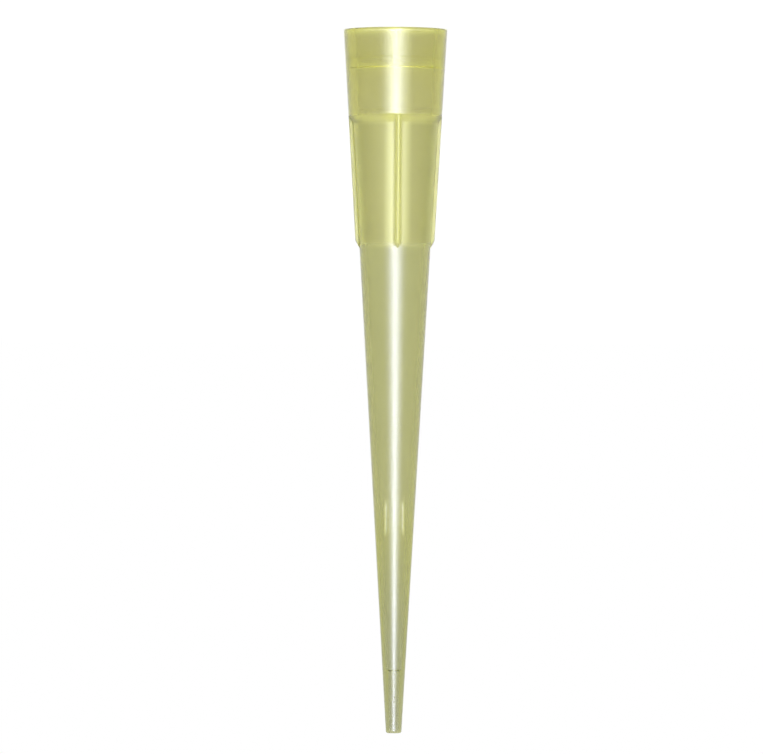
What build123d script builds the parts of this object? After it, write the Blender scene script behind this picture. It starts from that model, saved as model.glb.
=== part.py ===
"""A 200 microlitre pipette tip: one tapered tube of clear yellow polypropylene.

The tip is moulded in one shot, so it is one solid. It stands on its mouth, with
the rim face on Z = 0, the axis on Z and the point at the top. Sizes are in
millimetres, and heights are measured from the rim face.
"""
import os
from math import radians, tan

from build123d import *

# Overall length, from the rim face to the end of the point
length = 51.0

# Mouth: a wide lead-in, a cylindrical land that grips the pipette's nozzle, and
# the tapered socket behind it
seal_radius = 2.74
seal_start = 2.2
seal_length = 0.56
lead_in_depth = 0.26        # how much wider than the land the mouth is at the rim
lead_in_narrowing = 0.21    # how much narrower the lead-in is at its inner end
lead_in_ramp = 0.22         # height of the short ramp from the lead-in to the land
land_height = 0.06          # how far the land stands out of the socket's wall
land_ramp = 0.07
socket_end = 5.75
socket_taper = 2.0          # degrees
socket_ramp = 0.15

# Walls, each measured square to the axis
mouth_wall = 0.76
upper_wall = 0.47           # where the body's bore starts, behind the socket
middle_wall = 0.43          # where the bore starts to narrow faster
narrow_wall = 0.52          # where it goes back to a slow taper
lower_wall = 0.42           # above the step into the capillary
point_wall = 0.32

# Lower bore, with its places measured back from the end of the point
narrowing_start = 16.8
narrowing_end = 14.2
capillary_length = 4.5
capillary_ramp = 0.1
capillary_taper = 0.75      # degrees
orifice_radius = 0.24

# Barrel: the upper cone, which carries the collar and the ribs. The long body runs
# on from it to the point with almost the same taper
barrel_taper = 3.3          # degrees
barrel_length = 15.8

# Collar round the mouth, and the ribs that run on from it along the barrel
collar_rise = 0.27          # how far both stand out of the barrel
collar_length = 6.25
rib_end = 15.3
rib_count = 4
rib_width = 0.36
rib_crest_round = 0.13
rib_outward_angle = 60.0    # degrees; a rib's face turned less than this from outwards is crest
end_slope = 0.55            # length of the slope that ends the collar and each rib

# Edge finishes
rim_round = 0.1
rim_chamfer = 0.08
point_round = 0.13
orifice_round = 0.06

# Radii that follow from the bore and the walls
rim_radius = seal_radius + lead_in_depth + mouth_wall
point_radius = orifice_radius + point_wall
barrel_radius = rim_radius - collar_rise
barrel_slope = tan(radians(barrel_taper))
body_top_radius = barrel_radius - barrel_slope * barrel_length
body_slope = (body_top_radius - point_radius) / (length - barrel_length)


def body_radius(height):
    """Outside radius of the barrel, or past its end of the long body."""
    if height < barrel_length:
        return barrel_radius - barrel_slope * height
    return body_top_radius - body_slope * (height - barrel_length)


def collar_radius(height):
    """Outside radius of the collar, and the reach of the ribs' crests."""
    return body_radius(height) + collar_rise


def bore_radius(height, wall):
    """Radius of the bore where the body's wall is known."""
    return body_radius(height) - wall


# One rib: a fin rooted inside the wall, with its crest in line with the collar's cone
# and rounded along both edges
rib_root = rib_end + end_slope
with BuildPart() as rib:
    with BuildSketch(Plane.XZ):
        with BuildLine():
            Polyline(
                (body_radius(collar_length) - collar_rise, collar_length),
                (collar_radius(collar_length), collar_length),
                (collar_radius(rib_end), rib_end),
                (body_radius(rib_root), rib_root),
                (body_radius(rib_root) - collar_rise, rib_root),
                close=True,
            )
        make_face()
    extrude(amount=rib_width / 2, both=True)
    outwards = Vector(1, 0, 0)
    crest = rib.faces().filter_by(lambda face: face.normal_at().get_angle(outwards) < rib_outward_angle)
    fillet(crest.edges().filter_by(Plane.XZ), radius=rib_crest_round)

# Both turned outlines start half way between two ribs, so that the seam of each
# cone stays clear of them
seam_plane = Plane.XZ.rotated((0, 0, 180 / rib_count))

with BuildPart() as pipette_tip:
    # Outside: the collar, its end slope, the barrel and the long body, turned as a
    # solid
    with BuildSketch(seam_plane):
        with BuildLine():
            Polyline(
                (0, 0),
                (collar_radius(0), 0),
                (collar_radius(collar_length), collar_length),
                (body_radius(collar_length + end_slope), collar_length + end_slope),
                (body_top_radius, barrel_length),
                (point_radius, length),
                (0, length),
                close=True,
            )
        make_face()
    revolve(axis=Axis.Z)

    with PolarLocations(0, rib_count):
        add(rib.part)

    # Bore: every step and taper of the core that forms the inside
    socket_start = seal_start + seal_length + land_ramp
    socket_radius = seal_radius + land_height
    socket_end_radius = socket_radius - tan(radians(socket_taper)) * (socket_end - socket_start)
    body_bore_start = socket_end + socket_ramp
    narrowing_top = length - narrowing_start
    narrowing_foot = length - narrowing_end
    capillary_start = length - capillary_length
    capillary_radius = orifice_radius + tan(radians(capillary_taper)) * capillary_length
    step_start = capillary_start - capillary_ramp
    mouth_radius = seal_radius + lead_in_depth
    with BuildSketch(seam_plane):
        with BuildLine():
            Polyline(
                (0, 0),
                (mouth_radius, 0),
                (mouth_radius - lead_in_narrowing, seal_start - lead_in_ramp),
                (seal_radius, seal_start),
                (seal_radius, seal_start + seal_length),
                (socket_radius, socket_start),
                (socket_end_radius, socket_end),
                (bore_radius(body_bore_start, upper_wall), body_bore_start),
                (bore_radius(narrowing_top, middle_wall), narrowing_top),
                (bore_radius(narrowing_foot, narrow_wall), narrowing_foot),
                (bore_radius(step_start, lower_wall), step_start),
                (capillary_radius, capillary_start),
                (orifice_radius, length),
                (0, length),
                close=True,
            )
        make_face()
    revolve(axis=Axis.Z, mode=Mode.SUBTRACT)

    # Edges: the rim is rounded outside and chamfered inside, the point is rounded
    circles = pipette_tip.edges().filter_by(GeomType.CIRCLE)
    rim_edges = circles.group_by(Axis.Z)[0].sort_by(SortBy.RADIUS)
    point_edges = circles.group_by(Axis.Z)[-1].sort_by(SortBy.RADIUS)
    chamfer(rim_edges[0], length=rim_chamfer)
    fillet(rim_edges[-1], radius=rim_round)
    fillet(point_edges[0], radius=orifice_round)
    fillet(point_edges[-1], radius=point_round)

pipette_tip.part.label = "pipette_tip"

os.makedirs("parts", exist_ok=True)
export_step(pipette_tip.part, "parts/pipette_tip.step")

print("rim and point diameters:", round(2 * rim_radius, 3), round(2 * point_radius, 3))
print("volume in cubic millimetres:", round(pipette_tip.part.volume, 3))
print("centre of mass height:", round(pipette_tip.part.center(CenterOf.MASS).Z, 3))
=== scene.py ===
"""A yellow 200 microlitre pipette tip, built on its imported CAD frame.

The tip stands on its mouth with its point up, and the camera is turned upside down,
so that it is seen mouth up and point down. The tip's sizes are in millimetres and
become metres where its mesh is made. The studio's are in metres.
"""
import math

import bpy
from mathutils import Matrix, Vector


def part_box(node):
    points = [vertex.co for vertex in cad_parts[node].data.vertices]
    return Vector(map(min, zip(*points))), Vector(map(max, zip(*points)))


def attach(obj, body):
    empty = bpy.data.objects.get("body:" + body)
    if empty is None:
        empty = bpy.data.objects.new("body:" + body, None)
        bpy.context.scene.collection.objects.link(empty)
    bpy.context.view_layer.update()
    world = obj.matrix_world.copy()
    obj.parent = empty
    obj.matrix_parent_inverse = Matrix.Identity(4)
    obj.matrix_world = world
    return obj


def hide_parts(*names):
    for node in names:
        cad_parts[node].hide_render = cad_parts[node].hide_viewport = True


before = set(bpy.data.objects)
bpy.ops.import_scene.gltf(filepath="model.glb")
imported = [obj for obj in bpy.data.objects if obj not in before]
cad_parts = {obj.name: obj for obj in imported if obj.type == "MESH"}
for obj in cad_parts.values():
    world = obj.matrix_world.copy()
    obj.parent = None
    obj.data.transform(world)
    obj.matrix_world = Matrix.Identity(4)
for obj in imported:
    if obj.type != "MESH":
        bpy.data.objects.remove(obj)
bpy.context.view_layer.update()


# The tip: one thin-walled polypropylene moulding, dyed yellow in the melt. A steel
# core forms the bore with its steps and a cavity forms the collar, the ribs and the
# long cone, and both draw off along the axis, so every face has a slight taper.
MM = 0.001
tip_low, tip_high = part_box("pipette_tip")
tip_length = (tip_high.z - tip_low.z) / MM

# Heights run from the rim, at 0, up to the point. Outside: the collar, the barrel and
# the long body
rim_radius = 3.76
rim_round = 0.1
collar_rise = 0.27
collar_end = 6.25
end_slope = 0.55
slope_round = 0.3
barrel_end = 15.8
barrel_slope = math.tan(math.radians(3.3))
point_radius = 0.56
point_round = 0.13

# Bore, from the mouth's lead-in past the sealing land and the socket to the capillary
mouth_radius = 3.0
mouth_round = 0.08
lead_in_end_radius = 2.79
lead_in_ramp = 0.22
lead_in_round = 0.06
seal_radius = 2.74
seal_start = 2.2
seal_end = 2.76
land_ramp = 0.07
land_round = 0.03
socket_radius = 2.8
socket_end = 5.75
socket_end_radius = 2.697
socket_ramp = 0.15
socket_round = 0.05
narrowing_start = tip_length - 16.8
narrowing_end = tip_length - 14.2
narrowing_round = 0.6
capillary_start = tip_length - 4.5
capillary_radius = 0.3
capillary_ramp = 0.1
capillary_ramp_round = 0.08
capillary_round = 0.05
orifice_radius = 0.24
orifice_round = 0.07

# Walls: where the bore starts past the socket, at both ends of its narrowing, and
# before the capillary
upper_wall = 0.47
middle_wall = 0.43
narrow_wall = 0.52
lower_wall = 0.42

# Where the outside and the bore share the two flat end faces
rim_middle = mouth_radius + 0.3
point_middle = orifice_radius + 0.13

# Ribs, two on the X axis and two on the Y axis, and the mesh's columns from a rib's
# middle to its edge, to a little past that, and half way to the next rib
rib_count = 4
rib_half_width = 0.18
rib_end = 15.3
rib_columns = 10
root_columns = 13
half_sector_columns = 34

# Where the collar and the ribs have sloped down to the barrel
collar_root = collar_end + end_slope
rib_root = rib_end + end_slope


def outside_radius(height):
    """Outer radius of the barrel at a height, or past its end that of the long body.
    The collar and the ribs stand out from it."""
    barrel_top = rim_radius - collar_rise
    if height < barrel_end:
        return barrel_top - barrel_slope * height
    shoulder = barrel_top - barrel_slope * barrel_end
    share = (height - barrel_end) / (tip_length - barrel_end)
    return shoulder + (point_radius - shoulder) * share


def turned_outline(corners, arc_steps=5, guard_row=0.05):
    """Points of a section. Each corner is its reach, height, rounding and the rows
    on the straight stretch that leads to it. A guard row near each end of a stretch
    keeps the stretch's own shading flat, unless the rows are close enough to do so."""
    places = [Vector((reach, height)) for reach, height, _, _ in corners]
    arcs = []
    for index, (_, _, rounding, _) in enumerate(corners):
        corner = places[index]
        if index in (0, len(corners) - 1) or rounding == 0:
            arcs.append([corner])
            continue
        back = (places[index - 1] - corner).normalized()
        ahead = (places[index + 1] - corner).normalized()
        half = back.angle(ahead) / 2
        centre = corner + (back + ahead).normalized() * rounding / math.sin(half)
        first = (corner + back * rounding / math.tan(half) - centre).normalized()
        last = (corner + ahead * rounding / math.tan(half) - centre).normalized()
        turns = [first.slerp(last, step / arc_steps) for step in range(arc_steps + 1)]
        arcs.append([centre + turn * rounding for turn in turns])
    points = list(arcs[0])
    for arc, (_, _, _, rows) in zip(arcs[1:], corners[1:]):
        start, end = points[-1], arc[0]
        shares = [row / rows for row in range(1, rows)]
        guard = guard_row / (end - start).length
        half_a_row = 0.5 / rows
        if guard < half_a_row:
            shares = [guard, *shares, 1 - guard]
        points += [start.lerp(end, share) for share in shares] + arc
    return points


past_ribs = rib_root + 1
bore_start = socket_end + socket_ramp
bore_end = capillary_start - capillary_ramp
outside_corners = [
    (rim_middle, 0, 0, 1),
    (rim_radius, 0, rim_round, 1),
    (outside_radius(collar_end) + collar_rise, collar_end, slope_round, 8),
    (outside_radius(collar_root), collar_root, slope_round, 8),
    (outside_radius(rib_end), rib_end, 0, 10),
    (outside_radius(rib_root), rib_root, 0, 12),
    (outside_radius(past_ribs), past_ribs, 0, 1),
    (point_radius, tip_length, point_round, 30),
    (point_middle, tip_length, 0, 1),
]
inside_corners = [
    (point_middle, tip_length, 0, 1),
    (orifice_radius, tip_length, orifice_round, 1),
    (capillary_radius, capillary_start, capillary_round, 10),
    (outside_radius(bore_end) - lower_wall, bore_end, capillary_ramp_round, 3),
    (outside_radius(narrowing_end) - narrow_wall, narrowing_end, narrowing_round, 12),
    (outside_radius(narrowing_start) - middle_wall, narrowing_start, narrowing_round, 6),
    (outside_radius(bore_start) - upper_wall, bore_start, socket_round, 30),
    (socket_end_radius, socket_end, socket_round, 2),
    (socket_radius, seal_end + land_ramp, land_round, 6),
    (seal_radius, seal_end, land_round, 2),
    (seal_radius, seal_start, lead_in_round, 2),
    (lead_in_end_radius, seal_start - lead_in_ramp, lead_in_round, 3),
    (mouth_radius, 0, mouth_round, 5),
    (rim_middle, 0, 0, 1),
]
outside_points = turned_outline(outside_corners)
inside_points = turned_outline(inside_corners)
section_points = outside_points[:-1] + inside_points[:-1]

section_mesh = bpy.data.meshes.new("tip_section")
section_mesh.from_pydata(
    [(point.x * MM, 0, point.y * MM) for point in section_points],
    [(index, (index + 1) % len(section_points)) for index in range(len(section_points))],
    [],
)
outer_skin = section_mesh.attributes.new("outer_skin", "FLOAT", "POINT")
for index in range(len(section_points)):
    outer_skin.data[index].value = 1.0 if index < len(outside_points) - 1 else 0.0
moulding = bpy.data.objects.new("moulded_tip", section_mesh)
bpy.context.scene.collection.objects.link(moulding)


def wiring(tree):
    """Two helpers for a node tree. The first fills a socket with a link or a value, and
    the second adds a Math node and gives its result."""
    def fill(socket, value):
        if hasattr(value, "is_output"):
            tree.links.new(value, socket)
        elif value is not None:
            socket.default_value = value

    def maths(operation, first, second=None):
        step = tree.nodes.new("ShaderNodeMath")
        step.operation = operation
        fill(step.inputs[0], first)
        fill(step.inputs[1], second)
        return step.outputs[0]

    return fill, maths


def moulding_tree():
    """Turns the section round the axis and raises the ribs out of its outer skin."""
    tree = bpy.data.node_groups.new("Ribbed Turning", "GeometryNodeTree")
    tree.interface.new_socket("Moulding", in_out="OUTPUT", socket_type="NodeSocketGeometry")
    for name, kind in (
        ("Section", "Geometry"),
        ("Ribs", "Int"),
        ("Rib Half Width", "Float"),
        ("Rib Rise", "Float"),
        ("Collar End", "Float"),
        ("Rib End", "Float"),
        ("End Slope", "Float"),
        ("Barrel Radius", "Float"),
        ("Barrel End Radius", "Float"),
        ("Rib Columns", "Int"),
        ("Root Columns", "Int"),
        ("Half Sector Columns", "Int"),
        ("Material", "Material"),
    ):
        tree.interface.new_socket(name, in_out="INPUT", socket_type="NodeSocket" + kind)
    nodes, links = tree.nodes, tree.links
    given = nodes.new("NodeGroupInput").outputs
    fill, maths = wiring(tree)

    def ramp(value, start, end, start_value, end_value):
        step = nodes.new("ShaderNodeMapRange")
        step.clamp = True
        values = (value, start, end, start_value, end_value)
        for socket, given_value in zip(step.inputs[:5], values):
            fill(socket, given_value)
        return step.outputs[0]

    def remember(geometry, name, value):
        step = nodes.new("GeometryNodeStoreNamedAttribute")
        step.data_type = "FLOAT"
        step.inputs["Name"].default_value = name
        fill(step.inputs["Geometry"], geometry)
        fill(step.inputs["Value"], value)
        return step.outputs[0]

    def recall(name):
        step = nodes.new("GeometryNodeInputNamedAttribute")
        step.data_type = "FLOAT"
        step.inputs["Name"].default_value = name
        return step.outputs[0]

    # The section's own reach and height ride along with each of its points
    place = nodes.new("ShaderNodeSeparateXYZ")
    links.new(nodes.new("GeometryNodeInputPosition").outputs[0], place.inputs[0])
    section = remember(given["Section"], "reach", place.outputs["X"])
    section = remember(section, "height", place.outputs["Z"])
    profile = nodes.new("GeometryNodeMeshToCurve")
    links.new(section, profile.inputs[0])

    # One ring of columns, the same count in each sector between two ribs
    sector_columns = maths("MULTIPLY", given["Half Sector Columns"], 2)
    ring = nodes.new("GeometryNodeCurvePrimitiveCircle")
    links.new(maths("MULTIPLY", sector_columns, given["Ribs"]), ring.inputs["Resolution"])
    path = remember(ring.outputs[0], "column", nodes.new("GeometryNodeInputIndex").outputs[0])
    turned = nodes.new("GeometryNodeCurveToMesh")
    links.new(path, turned.inputs["Curve"])
    links.new(profile.outputs[0], turned.inputs["Profile Curve"])

    # Each column's distance from the nearest rib, as a width near it and as a share
    # of the bare wall beyond it
    height = recall("height")
    column = recall("column")
    sector = maths("FLOOR", maths("DIVIDE", column, sector_columns))
    in_sector = maths("SUBTRACT", column, maths("MULTIPLY", sector, sector_columns))
    from_rib = maths("MINIMUM", in_sector, maths("SUBTRACT", sector_columns, in_sector))
    near = maths("MINIMUM", from_rib, given["Root Columns"])
    width_share = maths("DIVIDE", near, given["Rib Columns"])
    across = maths("MULTIPLY", width_share, given["Rib Half Width"])
    rib_root_height = maths("ADD", given["Rib End"], given["End Slope"])
    barrel = ramp(height, given["Collar End"], rib_root_height,
                  given["Barrel Radius"], given["Barrel End Radius"])
    near_turn = maths("ARCSINE", maths("DIVIDE", across, barrel))
    beyond = maths("SUBTRACT", from_rib, near)
    wall_columns = maths("SUBTRACT", given["Half Sector Columns"], given["Root Columns"])
    half_turn = maths("DIVIDE", math.pi, given["Ribs"])
    wall_turn = maths("MULTIPLY", maths("DIVIDE", beyond, wall_columns),
                      maths("SUBTRACT", half_turn, near_turn))
    turn_from_rib = maths("ADD", near_turn, wall_turn)
    far_side = maths("GREATER_THAN", in_sector, given["Half Sector Columns"])
    side = maths("SUBTRACT", 1, maths("MULTIPLY", far_side, 2))
    rib_number = maths("ADD", sector, far_side)
    turn = maths("ADD", maths("MULTIPLY", rib_number, maths("MULTIPLY", half_turn, 2)),
                 maths("MULTIPLY", side, turn_from_rib))

    # A rib's round-topped section sinks into the collar's end slope at one end and
    # down its own slope at the other
    crest = maths("SUBTRACT", 1, maths("POWER", width_share, 2))
    crest = maths("SQRT", maths("MAXIMUM", crest, 0))
    collar_root_height = maths("ADD", given["Collar End"], given["End Slope"])
    sunk = maths("ADD", ramp(height, given["Collar End"], collar_root_height, 1, 0),
                 ramp(height, given["Rib End"], rib_root_height, 0, 1))
    proud = maths("MAXIMUM", maths("SUBTRACT", crest, sunk), 0)
    lift = maths("MULTIPLY", maths("MULTIPLY", proud, given["Rib Rise"]), recall("outer_skin"))
    radius = maths("ADD", recall("reach"), lift)
    spot = nodes.new("ShaderNodeCombineXYZ")
    fill(spot.inputs["X"], maths("MULTIPLY", radius, maths("COSINE", turn)))
    fill(spot.inputs["Y"], maths("MULTIPLY", radius, maths("SINE", turn)))
    fill(spot.inputs["Z"], height)
    placed = nodes.new("GeometryNodeSetPosition")
    links.new(turned.outputs[0], placed.inputs["Geometry"])
    links.new(spot.outputs[0], placed.inputs["Position"])
    outwards = nodes.new("GeometryNodeFlipFaces")
    links.new(placed.outputs[0], outwards.inputs["Mesh"])
    smooth = nodes.new("GeometryNodeSetShadeSmooth")
    links.new(outwards.outputs[0], smooth.inputs["Geometry"])
    real = nodes.new("GeometryNodeRealizeInstances")
    links.new(smooth.outputs[0], real.inputs["Geometry"])
    finish = nodes.new("GeometryNodeSetMaterial")
    links.new(real.outputs[0], finish.inputs["Geometry"])
    links.new(given["Material"], finish.inputs["Material"])
    links.new(finish.outputs[0], nodes.new("NodeGroupOutput").inputs[0])
    return tree


# Colours of the outer skin, which light crosses on its way in and out, and of the bore
body_tint = (0.497, 0.5, 0.382, 1)
barrel_tint = (0.56, 0.552, 0.4, 1)
collar_tint = (0.525, 0.508, 0.505, 1)
# Painted shade: darker and greyer towards the point
point_shade_tint = (0.42, 0.43, 0.41, 1)
point_shade_start = 34.0
bore_tint = (0.98, 0.98, 0.98, 1)

# Painted light, which lightens the colour beside the ribs and at the steps: how far it
# reaches from a rib's middle, how much of it shows in the collar, and the height, reach
# and strength of each step's painted ring of light
painted_light_tint = (1.0, 1.0, 0.76, 1)
painted_rib_light_reach = (0.45, 1.1)
painted_rib_light_in_collar = 0.4
painted_light_rings = (
    (0.1, 0.5, 0.5),
    (seal_end, 0.35, 0.25),
    (collar_end + 0.3, 0.55, 0.75),
    (rib_end + 0.3, 0.4, 0.15),
    (tip_length, 0.4, 0.2),
)

# Glint lines: four short pale lines where the bore narrows, painted highlights in the
# colour that also stand a hair proud in the bump
glint_line_aside = 0.65
glint_line_width = 0.12
glint_line_rise = 0.028
glint_line_middle = 35.4
glint_line_reach = (0.8, 1.5)
glint_line_turn = 0.068

# The plastic itself, with its dye and its haze
refractive_index = 1.49
clearness = 0.95
dye_colour = (0.97, 0.97, 0.4, 1)
dye_density = 1300
haze = 0.6
haze_colour = (1.0, 1.0, 0.5)
haze_depth = 0.0006
cloud_scale = 450
cloud_strength = 0.06

# Dullness of each part, the streaks along the tip, and the grain of the mould
body_roughness = 0.15
barrel_roughness = 0.34
barrel_roughness_edge = 0.1
collar_roughness = 0.16
rib_side_roughness = 0.6
rib_crest_reach = (0.08, 0.14)
rib_side_reach = (0.2, 0.38)
streak_scale = 2500
streak_stretch = 0.05
streak_strength = 0.1
grain_scale = 4000
grain_depth = 0.0006


def hazy_yellow_plastic():
    """Glossy, hazy polypropylene: light goes through it and scatters a little, and the
    dye deepens with the depth of plastic."""
    material = bpy.data.materials.new("yellow_polypropylene")
    material.use_nodes = True
    nodes, links = material.node_tree.nodes, material.node_tree.links
    shader = nodes["Principled BSDF"]
    shader.inputs["IOR"].default_value = refractive_index
    shader.inputs["Transmission Weight"].default_value = clearness
    shader.inputs["Subsurface Weight"].default_value = haze
    shader.inputs["Subsurface Radius"].default_value = haze_colour
    shader.inputs["Subsurface Scale"].default_value = haze_depth
    dye = nodes.new("ShaderNodeVolumeAbsorption")
    dye.inputs["Color"].default_value = dye_colour
    dye.inputs["Density"].default_value = dye_density
    links.new(dye.outputs[0], nodes["Material Output"].inputs["Volume"])
    fill, maths = wiring(material.node_tree)

    def fade(distance, near, far):
        """1 up to the near distance, falling smoothly to 0 at the far one."""
        step = nodes.new("ShaderNodeMapRange")
        step.interpolation_type = "SMOOTHSTEP"
        values = (distance, near * MM, far * MM, 1.0, 0.0)
        for socket, value in zip(step.inputs[:5], values):
            fill(socket, value)
        return step.outputs[0]

    def from_height(level):
        return maths("ABSOLUTE", maths("SUBTRACT", height, level * MM))

    def tinted(share, before, after):
        step = nodes.new("ShaderNodeMix")
        step.data_type = "RGBA"
        fill(step.inputs["Factor"], share)
        fill(step.inputs[6], before)
        fill(step.inputs[7], after)
        return step.outputs[2]

    spot = nodes.new("ShaderNodeTexCoord").outputs["Object"]
    place = nodes.new("ShaderNodeSeparateXYZ")
    links.new(spot, place.inputs[0])
    height = place.outputs["Z"]

    # The collar, the barrel and the long body each have their own tint, and the darker,
    # greyer tint towards the point is painted shade
    in_collar = fade(height, collar_end, collar_root)
    up_to_rib_ends = fade(height, rib_end, rib_root)
    colour = tinted(fade(height, point_shade_start, capillary_start), point_shade_tint, body_tint)
    colour = tinted(up_to_rib_ends, colour, barrel_tint)
    colour = tinted(in_collar, colour, collar_tint)

    # Painted highlights: the colour is lightened beside the ribs, in rings at the steps and
    # along the four glint lines. The ribs lie on the X and the Y axis, so the smaller
    # coordinate is the distance from a rib's middle
    nearest_rib = maths("MINIMUM", maths("ABSOLUTE", place.outputs["X"]),
                        maths("ABSOLUTE", place.outputs["Y"]))
    painted_light = maths("MULTIPLY", fade(nearest_rib, *painted_rib_light_reach), up_to_rib_ends)
    hidden = maths("MULTIPLY", in_collar, 1 - painted_rib_light_in_collar)
    painted_light = maths("MULTIPLY", painted_light, maths("SUBTRACT", 1, hidden))
    for level, reach, strength in painted_light_rings:
        ring = maths("MULTIPLY", fade(from_height(level), 0, reach), strength)
        painted_light = maths("ADD", painted_light, ring)
    # The four glint lines, painted highlights, near where the bore narrows
    aside = maths("MULTIPLY", place.outputs["Y"], glint_line_turn)
    aside = maths("ABSOLUTE", maths("ADD", place.outputs["X"], aside))
    off_glint_line = maths("ABSOLUTE", maths("SUBTRACT", aside, glint_line_aside * MM))
    glint_line = maths("MULTIPLY", fade(off_glint_line, 0, glint_line_width),
                 fade(from_height(glint_line_middle), *glint_line_reach))
    painted_light = maths("MINIMUM", maths("ADD", painted_light, glint_line), 1)
    # The painted light goes into the colour here, lighter and yellower where it lies
    colour = tinted(painted_light, colour, painted_light_tint)

    # The dye isn't mixed in quite evenly, so the colour is faintly cloudy
    cloud = nodes.new("ShaderNodeTexNoise")
    cloud.inputs["Scale"].default_value = cloud_scale
    cloud.inputs["Detail"].default_value = 2
    links.new(spot, cloud.inputs["Vector"])
    shade = nodes.new("ShaderNodeHueSaturation")
    cloudiness = maths("MULTIPLY", cloud.outputs[0], 2 * cloud_strength)
    fill(shade.inputs["Value"], maths("ADD", cloudiness, 1 - cloud_strength))
    links.new(colour, shade.inputs["Color"])
    colour = shade.outputs[0]

    # The bore is polished and nearly clear
    skin = nodes.new("ShaderNodeAttribute")
    skin.attribute_name = "outer_skin"
    links.new(tinted(skin.outputs["Fac"], bore_tint, colour), shader.inputs["Base Color"])

    # The collar and the long body are glossy and the barrel is duller. The sides of the
    # ribs, spark-cut in the mould, are the dullest. Faint streaks run along the tip, the
    # way that it draws off the core and out of the cavity
    streaks = nodes.new("ShaderNodeTexNoise")
    streaks.inputs["Scale"].default_value = streak_scale
    streaks.inputs["Detail"].default_value = 3
    along = nodes.new("ShaderNodeMapping")
    along.inputs["Scale"].default_value = (1, 1, streak_stretch)
    links.new(spot, along.inputs["Vector"])
    links.new(along.outputs[0], streaks.inputs["Vector"])
    streaking = maths("SUBTRACT", streaks.outputs[0], 0.5)
    dullness = maths("ADD", maths("MULTIPLY", streaking, streak_strength), body_roughness)
    up_to_slope = fade(height, collar_end, collar_end + barrel_roughness_edge)
    barrel = maths("SUBTRACT", up_to_rib_ends, up_to_slope)
    off_crest = maths("SUBTRACT", 1, fade(nearest_rib, *rib_crest_reach))
    rib_sides = maths("MULTIPLY", fade(nearest_rib, *rib_side_reach), off_crest)
    for zone, extra in (
        (barrel, barrel_roughness - body_roughness),
        (in_collar, collar_roughness - body_roughness),
        (maths("MULTIPLY", rib_sides, barrel), rib_side_roughness),
    ):
        dullness = maths("ADD", dullness, maths("MULTIPLY", zone, extra))
    fill(shader.inputs["Roughness"], dullness)

    # The mould's fine grain leaves a skin that is very slightly uneven, and the four glint
    # lines, painted highlights in the colour, stand a hair proud of it
    grain = nodes.new("ShaderNodeTexNoise")
    grain.inputs["Scale"].default_value = grain_scale
    grain.inputs["Detail"].default_value = 4
    links.new(spot, grain.inputs["Vector"])
    relief = nodes.new("ShaderNodeBump")
    relief.inputs["Strength"].default_value = 1
    relief.inputs["Distance"].default_value = MM
    fill(relief.inputs["Height"], maths("ADD", maths("MULTIPLY", grain.outputs[0], grain_depth),
                                        maths("MULTIPLY", glint_line, glint_line_rise)))
    links.new(relief.outputs[0], shader.inputs["Normal"])
    return material


plastic = hazy_yellow_plastic()
turning = moulding.modifiers.new("turning", "NODES")
turning.node_group = moulding_tree()
sizes = {
    "Ribs": rib_count,
    "Rib Half Width": rib_half_width * MM,
    "Rib Rise": collar_rise * MM,
    "Collar End": collar_end * MM,
    "Rib End": rib_end * MM,
    "End Slope": end_slope * MM,
    "Barrel Radius": outside_radius(collar_end) * MM,
    "Barrel End Radius": outside_radius(rib_root) * MM,
    "Rib Columns": rib_columns,
    "Root Columns": root_columns,
    "Half Sector Columns": half_sector_columns,
    "Material": plastic,
}
for socket in turning.node_group.interface.items_tree:
    if socket.name in sizes:
        turning[socket.identifier] = sizes[socket.name]
evaluated = moulding.evaluated_get(bpy.context.evaluated_depsgraph_get())
tip_mesh = bpy.data.meshes.new_from_object(evaluated)
moulding.modifiers.remove(turning)
moulding.data = tip_mesh
tip_mesh.name = "moulded_tip"
for name in ("reach", "height", "column"):
    if name in tip_mesh.attributes:
        tip_mesh.attributes.remove(tip_mesh.attributes[name])

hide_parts("pipette_tip")
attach(moulding, "root")


# The room and the table: even white light all round, and a pale matt table that the
# tip stands on. Both are seen as white, also in reflections and through the plastic,
# and the table keeps a faint shadow.
studio = bpy.context.scene
studio.view_settings.view_transform = "Standard"
white = (1, 1, 1, 1)
room_brightness = 0.35
backdrop_brightness = 1.0
table_size = 8.0
table_colour = (0.9, 0.9, 0.9, 1)
table_roughness = 0.8
table_glow_brightness = 0.69


def shown_white(tree, lit_shader, white_shader):
    """Shows the white shader to the camera, to reflections and through the plastic, and
    the lit one to everything else."""
    fill, maths = wiring(tree)
    path = tree.nodes.new("ShaderNodeLightPath")
    seen = maths("MAXIMUM", path.outputs["Is Camera Ray"], path.outputs["Is Glossy Ray"])
    seen = maths("MAXIMUM", seen, path.outputs["Is Transmission Ray"])
    choice = tree.nodes.new("ShaderNodeMixShader")
    for socket, value in zip(choice.inputs, (seen, lit_shader, white_shader)):
        fill(socket, value)
    return choice.outputs[0]


world = bpy.data.worlds.new("white_room")
world.use_nodes = True
studio.world = world
room = world.node_tree
room_light = room.nodes["Background"]
room_light.inputs["Color"].default_value = white
room_light.inputs["Strength"].default_value = room_brightness
backdrop = room.nodes.new("ShaderNodeBackground")
backdrop.inputs["Color"].default_value = white
backdrop.inputs["Strength"].default_value = backdrop_brightness
room.links.new(
    shown_white(room, room_light.outputs[0], backdrop.outputs[0]),
    room.nodes["World Output"].inputs["Surface"],
)

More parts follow.
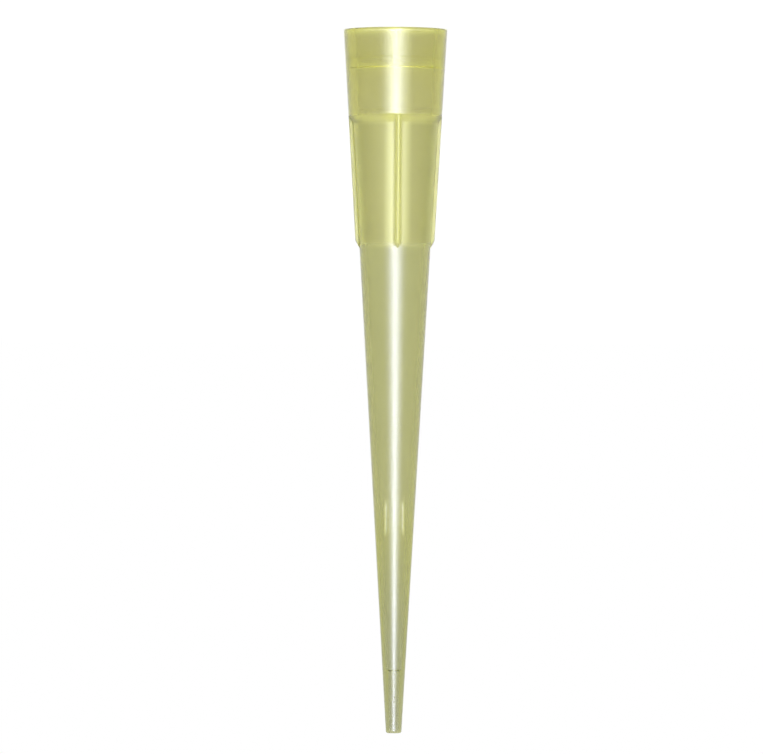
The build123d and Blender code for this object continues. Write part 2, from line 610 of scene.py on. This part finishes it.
half_table = table_size / 2
table_mesh = bpy.data.meshes.new("table_top")
table_mesh.from_pydata(
    [(-half_table, -half_table, 0), (half_table, -half_table, 0),
     (half_table, half_table, 0), (-half_table, half_table, 0)],
    [],
    [(0, 1, 2, 3)],
)
table_top = bpy.data.objects.new("table_top", table_mesh)
studio.collection.objects.link(table_top)
table_paint = bpy.data.materials.new("white_table")
table_paint.use_nodes = True
table = table_paint.node_tree
table_shader = table.nodes["Principled BSDF"]
table_shader.inputs["Base Color"].default_value = table_colour
table_shader.inputs["Roughness"].default_value = table_roughness
table_shader.inputs["Specular IOR Level"].default_value = 0.0
table_glow = table.nodes.new("ShaderNodeEmission")
table_glow.inputs["Strength"].default_value = table_glow_brightness
table_both = table.nodes.new("ShaderNodeAddShader")
table.links.new(table_shader.outputs[0], table_both.inputs[0])
table.links.new(table_glow.outputs[0], table_both.inputs[1])
table.links.new(
    shown_white(table, table_shader.outputs[0], table_both.outputs[0]),
    table.nodes["Material Output"].inputs["Surface"],
)
table_mesh.materials.append(table_paint)


# The lamp: a wide, low, soft panel in front of the tip and a little above it, brightest
# in its middle and faintly cool. It draws the long highlight down the tip, and isn't
# seen directly or through the plastic.
lamp_turn = math.radians(2.6)
lamp_rise = math.radians(6.6)
lamp_distance = 2.0
lamp_width = 4.0
lamp_height = 0.4
lamp_spread = 0.43
lamp_falloff = 1.5
lamp_brightness = 18.0
lamp_colour = (0.93, 0.965, 1.2)
middle = Vector((0, 0, tip_length * MM / 2))


def aimed(name, data, place, target):
    """An object at a place, looking at a target."""
    thing = bpy.data.objects.new(name, data)
    studio.collection.objects.link(thing)
    thing.location = place
    thing.rotation_euler = (Vector(target) - Vector(place)).to_track_quat("-Z", "Y").to_euler()
    return thing


front_light = bpy.data.lights.new("front_lamp", "AREA")
front_light.shape = "RECTANGLE"
front_light.color = lamp_colour
front_light.size = lamp_width
front_light.size_y = lamp_height
front_light.energy = math.pi * lamp_width * lamp_height * lamp_brightness
front_light.use_nodes = True

# Its glow fades to both sides as exp(-|across / spread| ** falloff / 2)
glow = front_light.node_tree
fill, maths = wiring(glow)
panel = glow.nodes.new("ShaderNodeSeparateXYZ")
fill(panel.inputs[0], glow.nodes.new("ShaderNodeNewGeometry").outputs["Parametric"])
across = maths("MULTIPLY", maths("SUBTRACT", panel.outputs["X"], 0.5), lamp_width / lamp_spread)
faded = maths("POWER", maths("ABSOLUTE", across), lamp_falloff)
fill(glow.nodes["Emission"].inputs["Strength"], maths("EXPONENT", maths("MULTIPLY", faded, -0.5)))

lamp_way = Vector((math.sin(lamp_turn), -math.cos(lamp_turn), math.tan(lamp_rise)))
front_lamp = aimed("front_lamp", front_light, middle + lamp_distance * lamp_way, middle)
front_lamp.visible_camera = False
front_lamp.visible_transmission = False


# The camera: level with the middle of the tip, with a long lens, and turned upside
# down. The tip is seen a little to the right of the middle, and leans very slightly.
camera_turn = math.radians(3.9)
camera_distance = 0.44
camera_aside = 0.95 * MM
camera_drop = 0.31 * MM
camera_lean = math.radians(0.16)
view_width = 55.33 * MM
camera_data = bpy.data.cameras.new("camera")
camera_data.sensor_width = 36
camera_data.lens = camera_data.sensor_width * camera_distance / view_width
camera_data.clip_start = 0.01
camera_data.clip_end = 10
sight = Vector((math.sin(camera_turn), -math.cos(camera_turn), 0))
sideways = Vector((math.cos(camera_turn), math.sin(camera_turn), 0))
aim = middle + sideways * camera_aside - Vector((0, 0, camera_drop))
camera = aimed("camera", camera_data, aim + sight * camera_distance, aim)
roll = Matrix.Rotation(math.pi + camera_lean, 3, "Z")
camera.rotation_euler = (camera.rotation_euler.to_matrix() @ roll).to_euler()
studio.camera = camera
